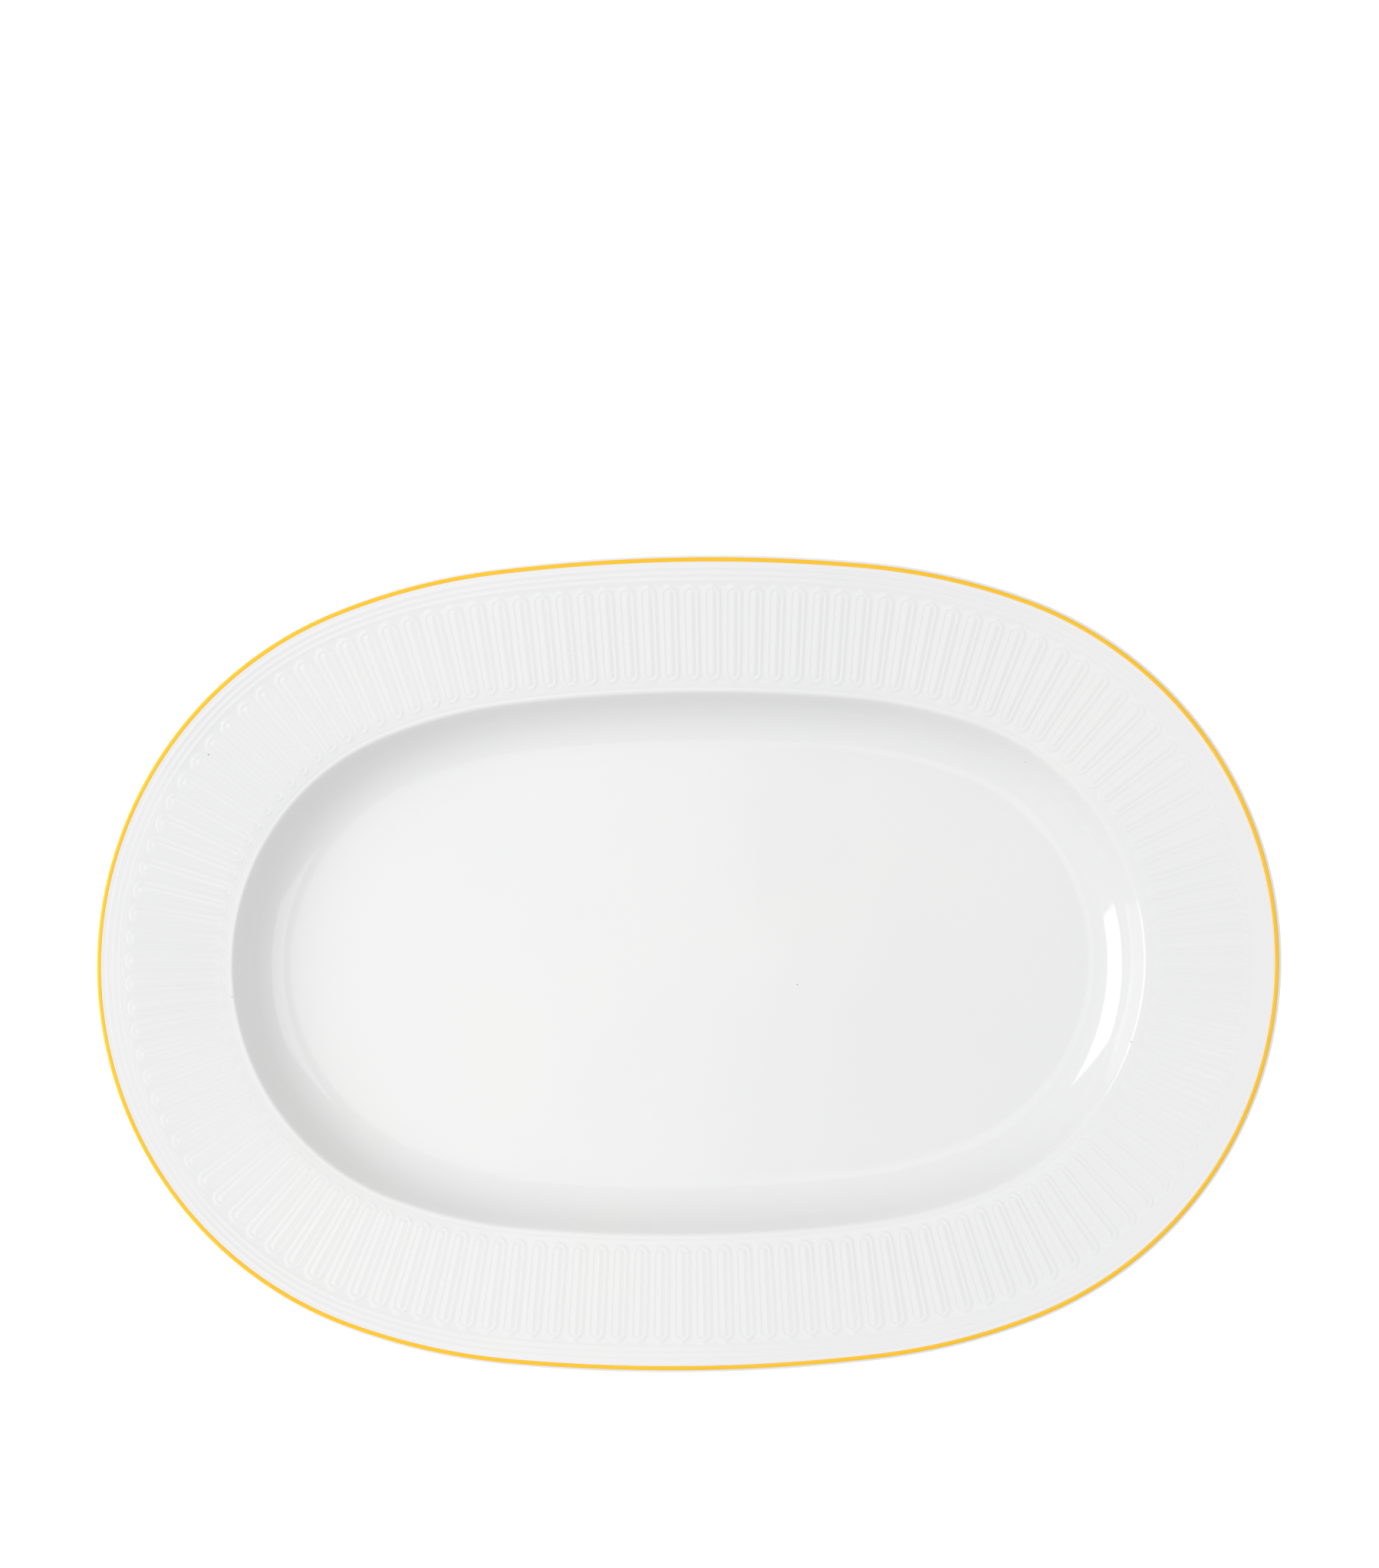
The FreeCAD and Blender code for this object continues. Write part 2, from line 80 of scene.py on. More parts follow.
# %% Sizes of the ware
MM = 0.001
HALF_LENGTH, HALF_WIDTH = cad_high[0] / MM, cad_high[1] / MM
CORNER_RADIUS = 213.0
END_ANGLE, SIDE_ANGLE = math.radians(69), math.radians(84)

GLAZE = 0.3
RIM_WIDTH, RIM_RISE, SHOULDER = 45.8, 7.8, 23.2
LIP = SHOULDER + RIM_RISE
RIM_FALL = RIM_RISE / (RIM_WIDTH - GLAZE)
RIM_ANGLE = math.atan(RIM_FALL)
FLOOR, BASE = 8.7, 4.0
WALL_FOOT, WELL_FILLET = RIM_WIDTH + (SHOULDER - FLOOR) / math.tan(math.radians(60)), 19.0
FLOOR_INSET = 67.5
FOOT_OUTER, FOOT_INNER, FOOT_TAPER, FOOT_BARE = WALL_FOOT - 0.4, WALL_FOOT + 4.0, 0.5, 0.8
FOOT_OUTSIDE, FOOT_ROUND, FOOT_FILLET = 2.6, 0.8, 1.5
EDGE_ROUND, EDGE_THICKNESS, RIM_THICKNESS, WALL_THICKNESS = 1.3, 2.8, 3.2, 4
SHOULDER_ROUND, BACK_FILLET = 1.5, 9

ENAMEL_INSET, ENAMEL_WIDTH, ENAMEL_THICKNESS = 1.5, 1.3, 0.12
SEAM = 1.95  # under the enamel line, where the two halves of the glaze meet out of sight
print(f"rim falls {math.degrees(RIM_ANGLE):.2f} degrees; the wall meets the floor at {WALL_FOOT:.2f} mm")

# %% [markdown]
# ## The oval
#
# An ellipse would be easy, but a mould-maker draws an oval dish with arcs: a tight one round each end, a
# wider one at each corner and a nearly flat one along each side. Two of the three radii follow from the
# length and the width, because the arcs have to close. Lines that run parallel to such an oval are arcs
# about the same centres, so every ring of the platter is `edge - inset * outward`.
#
# There are 132 flutes round the rim. The columns of the mesh are placed flute by flute, close together
# where a flute's bead is narrow and far apart between flutes, and a plain zone just uses every fourth.

# %% Sizes of the flutes and reeds
FLUTES = 132
REED_INSETS = (4.2, 6.25, 8.3)
REED_RADIUS, REED_RISE = 1.1, 0.15
FLUTE_START, FLUTE_END = REED_INSETS[-1] + 1.9, RIM_WIDTH - 3.6
TONGUE_RADIUS, TONGUE_RISE = 3.0, 0.35
BEAD_RADIUS, BEAD_RISE, BEAD_SPREAD = 0.9, 0.2, 2.2
STEP_INSET, STEP_DEPTH, STEP_WIDTH = RIM_WIDTH - 1.35, 0.1, 0.3
SOFTNESS, SOFTENING, FLATTENING = 0.03, 0.12, 1.3  # the last two are per millimetre of glaze
COLUMNS_ACROSS = np.array([0, 0.6, 1.15, 1.5, 1.85, 2.2, 2.55, 2.9])  # from a flute's centre line


# %% The outline as arrays
def closing_radii():
    """End and side radii: radius times change of cosine adds up to the half length, and radius times
    change of sine to the half width, which is two equations for two unknowns."""
    corner_x = CORNER_RADIUS * (math.cos(END_ANGLE) - math.cos(SIDE_ANGLE))
    corner_y = CORNER_RADIUS * (math.sin(SIDE_ANGLE) - math.sin(END_ANGLE))
    shares = np.array([[1 - math.cos(END_ANGLE), math.cos(SIDE_ANGLE)],
                       [math.sin(END_ANGLE), 1 - math.sin(SIDE_ANGLE)]])
    return np.linalg.solve(shares, [HALF_LENGTH - corner_x, HALF_WIDTH - corner_y])


END_RADIUS, SIDE_RADIUS = closing_radii()
RADII = np.array([END_RADIUS, CORNER_RADIUS, SIDE_RADIUS])
ANGLES = np.array([0, END_ANGLE, SIDE_ANGLE, math.pi / 2])
FIRST_CENTRE = np.array([HALF_LENGTH - END_RADIUS, 0.0])
TOWARDS_CORNER = np.array([math.cos(END_ANGLE), math.sin(END_ANGLE)])
SECOND_CENTRE = FIRST_CENTRE + (END_RADIUS - CORNER_RADIUS) * TOWARDS_CORNER
CENTRES = np.array([FIRST_CENTRE, SECOND_CENTRE, [0.0, HALF_WIDTH - SIDE_RADIUS]])

MIDDLE = (FLUTE_START + FLUTE_END) / 2
ARC_LENGTHS = (RADII - MIDDLE) * np.diff(ANGLES)
PITCH = 4 * ARC_LENGTHS.sum() / FLUTES


def column_places():
    """Places along the middle of the fluted band, and each one's distance from its flute's centre line.
    Each flute has the same columns: left of its centre, on it, right of it, and one between flutes."""
    across = np.concatenate([[-PITCH / 2], -COLUMNS_ACROSS[:0:-1], COLUMNS_ACROSS])
    starts = (np.arange(FLUTES) + 0.5) * PITCH
    return (starts[:, None] + across).ravel(), np.tile(across, FLUTES)


def oval(places):
    """Edge points and outward directions at some places: fold the place into the first quarter, find its
    arc, turn the leftover length into an angle, then mirror back by the signs of its quarter."""
    quarter_length = ARC_LENGTHS.sum()
    quarter = np.floor(places / quarter_length).astype(int) % 4
    rest = places - np.floor(places / quarter_length) * quarter_length
    rest = np.where(quarter % 2 == 1, quarter_length - rest, rest)
    ends = np.cumsum(ARC_LENGTHS)
    arc = np.minimum(np.searchsorted(ends, rest), 2)
    angle = ANGLES[arc] + (rest - (ends - ARC_LENGTHS)[arc]) / (RADII - MIDDLE)[arc]
    outward = np.stack([np.cos(angle), np.sin(angle)], axis=1)
    edge = CENTRES[arc] + RADII[arc, None] * outward
    signs = np.stack([np.where((quarter == 1) | (quarter == 2), -1, 1), np.where(quarter > 1, -1, 1)], axis=1)
    return edge * signs, outward * signs


PLACES, ACROSS = column_places()
EDGE, OUTWARD = oval(PLACES)
print(f"radii {RADII.round(2)} mm, flute pitch {PITCH:.3f} mm, {len(PLACES)} columns")

# %% [markdown]
# ## A cross-section in rows
#
# A row is one ring of the surface before it has columns: an inset, a height, and the direction that
# points out of the china there. Straight stretches and rounded corners are both worked out in that form,
# so a coat of glaze is the same rows moved out by its thickness, which is what a coat is.

# %% Rows of a section
def direction(a, b):
    """The unit step from one section point to another."""
    step = np.subtract(b, a)
    return step / np.hypot(*step)


def line_rows(start, end, shares):
    """Rows on a straight stretch: start + share * (end - start), with the direction out of the china on
    the left of the way the section is walked."""
    along = direction(start, end)
    points = np.array(start) + np.outer(shares, np.subtract(end, start))
    return np.hstack([points, np.tile([-along[1], along[0]], (len(points), 1))])


def bend_rows(before, corner, after, radius, count):
    """Rows round a corner: the circle of the given radius that touches both lines, as
    centre + radius * (cos a, sin a), with a going evenly from one touching point to the other."""
    arriving, leaving = direction(before, corner), direction(corner, after)
    turn = math.atan2(arriving[0] * leaving[1] - arriving[1] * leaving[0], arriving @ leaving)
    side = math.copysign(1, turn)
    touch = np.array(corner) - arriving * radius * math.tan(abs(turn) / 2)
    centre = touch + side * radius * np.array([-arriving[1], arriving[0]])
    first = math.atan2(*(touch - centre)[::-1])
    angles = first + turn * np.linspace(0, 1, count)
    round_way = np.stack([np.cos(angles), np.sin(angles)], axis=1)
    return np.hstack([centre + radius * round_way, -side * round_way])


def between(rows_before, rows_after, count):
    """Rows on the straight stretch from the end of one group of rows to the start of the next."""
    start, end = rows_before[-1, :2], rows_after[0, :2]
    return line_rows(start, end, np.arange(1, count + 1) / (count + 1))


def walk(corners, step_counts):
    """Rows along a chain of corners (inset, height, rounding, rows), leaving out the chain's two ends,
    which only aim the first and the last stretch. `step_counts` are the rows between the bends."""
    bends = [bend_rows(corners[i - 1][:2], corner[:2], corners[i + 1][:2], *corner[2:])
             for i, corner in enumerate(corners) if 0 < i < len(corners) - 1]
    rows = [bends[0]]
    for bend, count in zip(bends[1:], step_counts):
        rows += [between(rows[-1], bend, count), bend]
    return np.vstack(rows)


def on_rim(insets):
    """Rows on the bare rim's slope at some insets."""
    insets = np.asarray(insets, float)
    rows = np.tile([0, 0, math.sin(RIM_ANGLE), math.cos(RIM_ANGLE)], (len(insets), 1))
    rows[:, 0], rows[:, 1] = insets, LIP - (insets - GLAZE) * RIM_FALL
    return rows


# %% [markdown]
# ## The pressed relief
#
# The rim's pattern is pressed in the clay by the mould: three fine reeds along the lip, then flutes. Each
# flute is a low tongue inside a raised bead shaped like a race-track. Both are tops of round bars sunk in
# the rim, so their height is `sqrt(radius^2 - distance^2) - depth`, where it is above zero. Glaze rounds
# everything it covers. Its surface is the same formula with a fatter bar, and the meeting with the flat
# is softened.

# %% Height of the relief
def bar_top(distance, radius, rise, coat, soft):
    """Height of a sunken round bar's top above the rim at some distance from its centre line. The soft
    form (x + sqrt(x^2 + soft^2)) / 2 stands for "x, but never under zero"."""
    fat = radius + coat
    height = np.sqrt(np.maximum(fat**2 - distance**2, 0)) - (radius - rise + coat)
    return (height + np.sqrt(height**2 + soft**2)) / 2


def relief(inset, across, coat):
    """Height of the rim's pattern at an inset, for columns at some distance across their flutes. The
    flutes narrow inwards with the columns. The line where the mould's well ring meets its rim ring leaves
    a fine step just short of the shoulder. The glaze fills the hollows and so flattens all of it:
    height under glaze = (1 - flattening * coat) * height."""
    soft = SOFTNESS + SOFTENING * coat
    reeds = sum(bar_top(np.abs(inset - middle), REED_RADIUS, REED_RISE, coat, soft) for middle in REED_INSETS)
    tongue_end = BEAD_SPREAD + math.sqrt(BEAD_RADIUS**2 - (BEAD_RADIUS - BEAD_RISE) ** 2)
    past_end = max(FLUTE_START + tongue_end - inset, inset - (FLUTE_END - tongue_end), 0)
    from_core = np.hypot(across, past_end)
    tongue = bar_top(from_core, TONGUE_RADIUS, TONGUE_RISE, coat, soft)
    bead = bar_top(np.abs(from_core - BEAD_SPREAD), BEAD_RADIUS, BEAD_RISE, coat, soft)
    step = STEP_DEPTH * math.exp(-(((inset - STEP_INSET) / STEP_WIDTH) ** 2))
    return (1 - FLATTENING * coat) * (reeds + tongue + bead - step)


sample = relief(MIDDLE, ACROSS[:len(ACROSS) // FLUTES], GLAZE)
print(f"relief across one flute, under glaze: {sample.min():.3f} to {sample.max():.3f} mm")

# %% [markdown]
# ## From rows to a closed skin
#
# A band of rows with the same columns makes quads. Where a detailed band meets a plain one, each wide
# cell fans out to the narrow ones, and a pole is the same fan with one point. The rings are always
# walked the same way round the section, inwards over the top and outwards underneath, and that alone
# makes every face point outwards.

# %% Rings and skins
def ring(row, stride, coat=0.0, detail=None):
    """One ring of points, in metres: take every stride-th column, push the row out by the coat and by the
    relief along its own direction, and set it in from the edge."""
    inset, height, level_part, up_part = row
    push = coat
    if detail is not None:
        push = coat + relief(inset, ACROSS[::stride], detail)
    inset = inset + push * level_part
    height = height + push * up_part
    flat = EDGE[::stride] - np.reshape(inset, (-1, 1)) * OUTWARD[::stride]
    heights = np.broadcast_to(height, len(flat))
    return np.column_stack([flat, heights]) * MM


def shrunk(outer, shares, strides):
    """Rings that close a flat oval: the outer ring drawn towards its centre by shares, then the centre."""
    rings = [outer[::stride] * [share, share, 1] for share, stride in zip(shares, strides)]
    return rings + [outer.mean(axis=0, keepdims=True)]


def stitched(first, second, first_at, second_at):
    """Faces between two rings whose counts divide: quads if they are equal, and fans if not. In a fan
    each narrow cell joins the nearer wide point, and each wide cell the narrow point at its middle."""
    if first == second:
        here, ahead = np.arange(first), np.roll(np.arange(first), -1)
        return [np.stack([first_at + here, first_at + ahead, second_at + ahead, second_at + here], axis=1)]
    many, few = max(first, second), min(first, second)
    many_at, few_at = (first_at, second_at) if first > second else (second_at, first_at)
    ratio = many // few
    narrow = np.arange(many)
    nearer = ((narrow + ratio // 2) // ratio) % few
    fans = np.stack([many_at + narrow, many_at + np.roll(narrow, -1), few_at + nearer], axis=1)
    faces = [fans]
    if few > 1:
        wide = np.arange(few)
        middle = wide * ratio + (ratio + 1) // 2
        faces.append(np.stack([many_at + middle, few_at + np.roll(wide, -1), few_at + wide], axis=1))
    return faces if first > second else [face[:, ::-1] for face in faces]


def skin(name, rings, node):
    """A mesh object from rings walked in order, closed by joining its last ring to its first."""
    counts = [len(points) for points in rings]
    offsets = np.concatenate([[0], np.cumsum(counts)])
    faces = []
    for a, b in zip(range(len(rings)), [*range(1, len(rings)), 0]):
        if counts[a] > 1 or counts[b] > 1:
            faces += stitched(counts[a], counts[b], offsets[a], offsets[b])
    corners = np.concatenate([face.ravel() for face in faces])
    sizes = np.concatenate([np.full(len(face), face.shape[1]) for face in faces])
    starts = np.concatenate([[0], np.cumsum(sizes)[:-1]])
    mesh = bpy.data.meshes.new(name)
    points = np.vstack(rings)
    mesh.vertices.add(len(points))
    mesh.vertices.foreach_set("co", points.astype(np.float32).ravel())
    mesh.loops.add(len(corners))
    mesh.loops.foreach_set("vertex_index", corners.astype(np.int32))
    mesh.polygons.add(len(sizes))
    mesh.polygons.foreach_set("loop_start", starts.astype(np.int32))
    mesh.update(calc_edges=True)
    mesh.validate()
    mesh.shade_smooth()
    piece = bpy.data.objects.new(name, mesh)
    bpy.context.scene.collection.objects.link(piece)
    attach(piece, "root")
    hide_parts(node)
    triangles = int((sizes - 2).sum())
    print(f"{name}: {len(points)} points, {triangles} triangles")
    return piece


# %% [markdown]
# ## The china's own surface
#
# The section is walked in four stretches. The face runs from the enamel line in over the rim, down the
# wall and across the well. The underside runs out from its centre to the inner foot, the foot is the bare
# land it stands on, and the back climbs from the foot to the lip and over it. Each stretch is a list of
# rings, and the glaze will reuse them as its own inner side.

# %% The four stretches of the section
WELL_SHARES = (0.94, 0.86, 0.77, 0.67, 0.56, 0.44, 0.31, 0.18, 0.08)
WELL_STRIDES = (1, 1, 2, 2, 4, 4, 8, 8, 16)
LIP_CORNER, SHOULDER_CORNER = (GLAZE, LIP), (RIM_WIDTH, SHOULDER)
WALL_FOOT_CORNER, FLOOR_AIM = (WALL_FOOT, FLOOR), (FLOOR_INSET + 9, FLOOR)

plain_rim = on_rim([SEAM, 2.4, 3.0])
reeded = on_rim(np.concatenate([middle + np.array([-0.62, -0.33, 0, 0.33, 0.62]) for middle in REED_INSETS]))
flute_tips = np.array([0.05, 0.35, 0.65, 0.95, 1.3, 1.65, 2.0, 2.4, 2.85, 3.4])
fluted = on_rim(np.concatenate([FLUTE_START + flute_tips, np.linspace(FLUTE_START + 6, FLUTE_END - 6, 3),
                                FLUTE_END - flute_tips[::-1]]))
stepped = on_rim(RIM_WIDTH - np.array([3.1, 2.2, 1.8, 1.55, 1.35, 1.15, 0.95]))
well_side = walk([LIP_CORNER, (*SHOULDER_CORNER, SHOULDER_ROUND, 8), (*WALL_FOOT_CORNER, WELL_FILLET, 14),
                  FLOOR_AIM], [2])
well_rim = line_rows((FLOOR_INSET - 1.2, FLOOR), (FLOOR_INSET, FLOOR), [0, 1])

FACE = [(row, 4, True) for row in np.vstack([plain_rim, reeded])]
FACE += [(row, 1, True) for row in fluted]
FACE += [(row, 4, True) for row in stepped]
FACE += [(row, 4, False) for row in np.vstack([well_side, well_rim])]
print(f"the face has {len(FACE)} rows, {len(fluted)} of them across the flutes")


# %% [markdown]
# The underside, the foot and the back go on from there. The foot is the one place with a tight shape: a
# land about three millimetres wide with small rounded edges, so that it neither chips nor scratches.

# %% Underside, foot and back
FOOT_TOP_OUT, FOOT_LOW_OUT = (FOOT_OUTER, FOOT_OUTSIDE), (FOOT_OUTER + FOOT_TAPER, 0)
FOOT_LOW_IN, FOOT_TOP_IN = (FOOT_INNER - FOOT_TAPER, 0), (FOOT_INNER, BASE)
BACK_CORNER = (RIM_WIDTH - WALL_THICKNESS, SHOULDER - RIM_THICKNESS)
LIP_UNDER = (GLAZE, LIP - EDGE_THICKNESS)


def level_on(low, high, height):
    """The row where a straight stretch from low to high passes a height, walked upwards."""
    return line_rows(low, high, [(height - low[1]) / (high[1] - low[1])])


inner_edge = line_rows(FOOT_TOP_IN, FOOT_LOW_IN, [(BASE - FOOT_BARE) / BASE])
outer_edge = level_on(FOOT_LOW_OUT, FOOT_TOP_OUT, FOOT_BARE)
inner_fillet = bend_rows((FLOOR_INSET, BASE), FOOT_TOP_IN, FOOT_LOW_IN, FOOT_FILLET, 6)
base_rows = np.vstack([line_rows((FLOOR_INSET, BASE), (FLOOR_INSET - 2, BASE), [0, 1]), inner_fillet,
                       between(inner_fillet, inner_edge, 3), inner_edge])
land = walk([FOOT_TOP_IN, (*FOOT_LOW_IN, FOOT_ROUND, 6), (*FOOT_LOW_OUT, FOOT_ROUND, 6), FOOT_TOP_OUT], [3])
foot_rows = np.vstack([inner_edge, land, outer_edge])
climb = walk([FOOT_LOW_OUT, (*FOOT_TOP_OUT, FOOT_ROUND, 5), (*BACK_CORNER, BACK_FILLET, 12),
              (*LIP_UNDER, EDGE_ROUND, 8), (*LIP_CORNER, EDGE_ROUND, 9), SHOULDER_CORNER], [5, 9, 1])
back_rows = np.vstack([outer_edge, between(outer_edge, climb, 2), climb, on_rim([SEAM])])

UNDER = [(row, 4, False) for row in base_rows]
FOOT = [(row, 4, False) for row in foot_rows]
BACK = [(row, 4, False) for row in back_rows]
record_foot = next(m for m in frame["record"]["mounts"] if m["name"] == "foot_ring")
land_middle = HALF_LENGTH - (FOOT_OUTER + FOOT_INNER) / 2
print(f"foot land at x = {land_middle:.2f} mm; the record says {record_foot['pos_m'][0] / MM:.2f} mm")


# %% [markdown]
# Rows become rings here. A well's floor looks flat but never is, because clay sags a little as it is
# fired. Long faint waves give it the slow bend in its reflections that flat plastic lacks.

# %% Rings of bare china
def rings_of(stretch, coats=None, glazed=False):
    """The rings of a stretch of rows. Bare china has no coat and its own relief; glaze has a coat for
    each row and the softer relief."""
    coats = np.zeros(len(stretch)) if coats is None else coats
    rings = []
    for (row, stride, patterned), coat in zip(stretch, coats):
        detail = (GLAZE if glazed else 0.0) if patterned else None
        rings.append(ring(row, stride, coat, detail))
    return rings


def swell(rings, limit=0.22):
    """The same rings sunk by a long faint unevenness, up to a limit in millimetres and fading out towards
    the first ring: a sum of three waves of x and y with unlike lengths and directions."""
    uneven = []
    for step, points in enumerate(rings):
        x, y = points[:, 0] / MM, points[:, 1] / MM
        waves = np.sin(x / 31 + y / 47 + 0.4) + np.sin(x / 53 - y / 29 + 1.9)
        waves = waves + 0.7 * np.sin(x / 17 + y / 23 + 2.6)
        fade = min(1, (step + 1) / 4)
        uneven.append(points - np.outer((1 + waves / 2.7) / 2 * limit * fade, [0, 0, MM]))
    return uneven


# Glaze hides the china's face, so every second row and every second column are enough for it.
CHINA_FACE = [(row, 2 * stride, patterned) for row, stride, patterned in FACE[2:-1:2]]
CHINA_FACE = FACE[:1] + CHINA_FACE + FACE[-1:]
china_face = rings_of(CHINA_FACE)
china_well = swell(shrunk(china_face[-1], WELL_SHARES, WELL_STRIDES))
china_under = rings_of(UNDER)
china_base = shrunk(china_under[0], WELL_SHARES, WELL_STRIDES)[::-1]
china_foot = rings_of(FOOT)
china_back = rings_of(BACK)

china_rings = china_face + china_well + china_base + china_under + china_foot[1:-1] + china_back[:-1]
china_ware = skin("china_ware", china_rings, "china_body")

# %% [markdown]
# ## The glaze
#
# Glaze is the same surface moved out by its coat, closed at the back with the china's own surface. It
# thins to nothing at the wiped foot, in a rolled edge, because a fired glaze draws back from where it was
# wiped. It gathers in the hollows of the pattern and draws thin over its crests, so each point of the
# face also gets a number for how much has gathered there, which the finish will read. The same number
# also paints shade: greyer in the pattern's hollows and at the foot of the wall, lighter on the shoulder's
# edge.

# %% Glaze pieces
def edge_coats(count, thin_rows, at_start):
    """Coat thickness row by row: full, but falling to a rolled edge over the rows next to the foot, as
    the square root of the distance from the edge, which is a round shape."""
    coats = np.full(count, GLAZE)
    rolled = GLAZE * np.sqrt(np.linspace(0.03, 1, thin_rows))
    if at_start:
        coats[:thin_rows] = rolled
    else:
        coats[-thin_rows:] = rolled[::-1]
    return coats


face_glaze = rings_of(FACE, np.full(len(FACE), GLAZE), glazed=True)
well_glaze = swell(shrunk(face_glaze[-1], WELL_SHARES, WELL_STRIDES))
glaze_face = skin("glaze_face", face_glaze + well_glaze + china_well[::-1] + china_face[::-1],
                  "glaze_coat")


def pool_and_shade_at(stretch):
    """How much glaze has gathered, from 0 to 1, for each ring of a stretch, which also sets how much shade
    is painted there. In the pattern it falls with the relief's height. On the rest it is least on the
    shoulder's edge and most in the wall's hollow, a painted lighter edge and a painted shaded hollow."""
    masks = []
    for (inset, height, *_), stride, patterned in stretch:
        across = ACROSS[::stride]
        # glaze does gather at the wall's foot and thin on the shoulder's edge; these terms also paint shade
        # at the foot and a lighter shoulder edge
        low_in_wall = math.exp(-(((height - FLOOR - 2) / 3) ** 2))
        on_shoulder = math.exp(-(((height - SHOULDER) / 0.8) ** 2))
        hollow = 0.3 + 0.5 * low_in_wall - 0.3 * on_shoulder
        if patterned:
            share = 0.7 if FLUTE_START < inset < FLUTE_END else 0.2
            hollow = 0.3 + share * np.clip(1 - relief(inset, across, GLAZE) / 0.12, 0, 1)
        masks.append(np.broadcast_to(hollow, across.shape))
    return np.concatenate(masks)


# the per-point number of gathered glaze and painted shade, read by the white glaze's colour
pool_and_shade = np.full(len(glaze_face.data.vertices), 0.3, np.float32)
face_pool_and_shade = pool_and_shade_at(FACE)
pool_and_shade[:len(face_pool_and_shade)] = face_pool_and_shade
glaze_face.data.attributes.new("pool_and_shade", "FLOAT", "POINT").data.foreach_set("value", pool_and_shade)
print(f"pooling runs from {face_pool_and_shade.min():.2f} to {face_pool_and_shade.max():.2f}")

back_glaze = rings_of(BACK, edge_coats(len(BACK), 4, True))
glaze_back = skin("glaze_back", back_glaze + china_back[::-1], "glaze_coat")

under_glaze = rings_of(UNDER, edge_coats(len(UNDER), 4, False))
base_glaze = shrunk(under_glaze[0], WELL_SHARES, WELL_STRIDES)[::-1]
glaze_base = skin("glaze_base", base_glaze + under_glaze + china_under[::-1] + china_base[::-1],
                  "glaze_base_panel")

# %% [markdown]
# ## The enamel line
#
# A decorator bands it by hand: the platter turns on a wheel and a loaded brush is held still against the
# lip. So the line's edges are true, but they breathe a little, the colour lies thickest along its middle,
# and there is a short stretch where the end of the stroke overlaps its start. It follows the glaze, which
# is round at the lip and straight further in.

# %% The enamel band
def glazed_lip(inset):
    """Height of the glaze and its outward direction near the lip: an arc about the lip's centre out to
    where that arc touches the rim's slope, and the slope from there on. `inset` may be an array."""
    radius = EDGE_ROUND + GLAZE
    touch = radius * (1 + math.sin(RIM_ANGLE))
    slope = LIP - (inset - GLAZE) * RIM_FALL + GLAZE / math.cos(RIM_ANGLE)
    centre = LIP - (touch - GLAZE) * RIM_FALL + GLAZE / math.cos(RIM_ANGLE) - radius * math.cos(RIM_ANGLE)
    lean = np.where(inset < touch, (inset - radius) / radius, math.sin(RIM_ANGLE))
    up = np.sqrt(1 - lean**2)
    return np.where(inset < touch, centre + radius * up, slope), lean, up


ENAMEL_STRIDE = 2
WIDENING = 1.06  # the band's thin edges hardly show, so it is laid a little wide
USUAL_LOAD = 0.76  # the share of the full thickness that the brush mostly leaves
TURN = 2 * math.pi * PLACES[::ENAMEL_STRIDE] / (PITCH * FLUTES)


def enamel_rings(shares, heights):
    """Rings across the band at shares from -1, its outer edge, to 1, raised above the glaze. The stroke's
    middle, width and load each vary by slow waves round the oval."""
    middle = ENAMEL_INSET + 0.025 * np.sin(3 * TURN + 0.7) + 0.015 * np.sin(11 * TURN + 2.1)
    half = ENAMEL_WIDTH / 2 * (WIDENING + 0.01 * np.sin(5 * TURN) + 0.005 * np.sin(23 * TURN + 1.3))
    overlap = np.exp(-(((TURN - 3.9) / 0.03) ** 2))
    load = USUAL_LOAD + 0.05 * np.sin(7 * TURN + 0.4) + 0.03 * np.sin(31 * TURN) + 0.04 * overlap
    rings = []
    for share, height in zip(shares, heights):
        inset = middle + share * half
        level, lean, up = glazed_lip(inset)
        rise = height * (load if height > 0 else 1)
        inset, level = inset + rise * lean, level + rise * up
        flat = EDGE[::ENAMEL_STRIDE] - inset[:, None] * OUTWARD[::ENAMEL_STRIDE]
        rings.append(np.column_stack([flat, level]) * MM)
    return rings


ENAMEL_ROOT = -0.1  # how far the band reaches into the glaze
across_band = np.array([-1, -0.97, -0.88, -0.7, -0.4, 0, 0.4, 0.7, 0.88, 0.97, 1])
back_across = across_band[9:0:-2]
crown = ENAMEL_THICKNESS * np.sqrt(np.maximum(1 - across_band**4, 0))
root_heights = np.full(len(back_across), ENAMEL_ROOT)
band_rings = enamel_rings(across_band, crown) + enamel_rings(back_across, root_heights)
enamel_band = skin("enamel_band", band_rings, "enamel_line")

turns = np.tile(TURN, len(band_rings))
shares = np.repeat(np.concatenate([across_band, back_across]), len(TURN))
stroke = np.column_stack([np.cos(turns), np.sin(turns), shares]).astype(np.float32)
enamel_band.data.attributes.new("stroke", "FLOAT_VECTOR", "POINT").data.foreach_set("vector", stroke.ravel())

# %% [markdown]
# ## Finishes
#
# All three finishes come out of one kiln, so they share three effects, each made once as a node group:
# a slow drift of tone, the few specks that iron in the clay or dust in the kiln leaves, and the ripple of
# a surface that was molten. Each finish places them with its own amounts. The gloss itself stays in each
# material's own shader, as one clear dielectric over a white or yellow body.

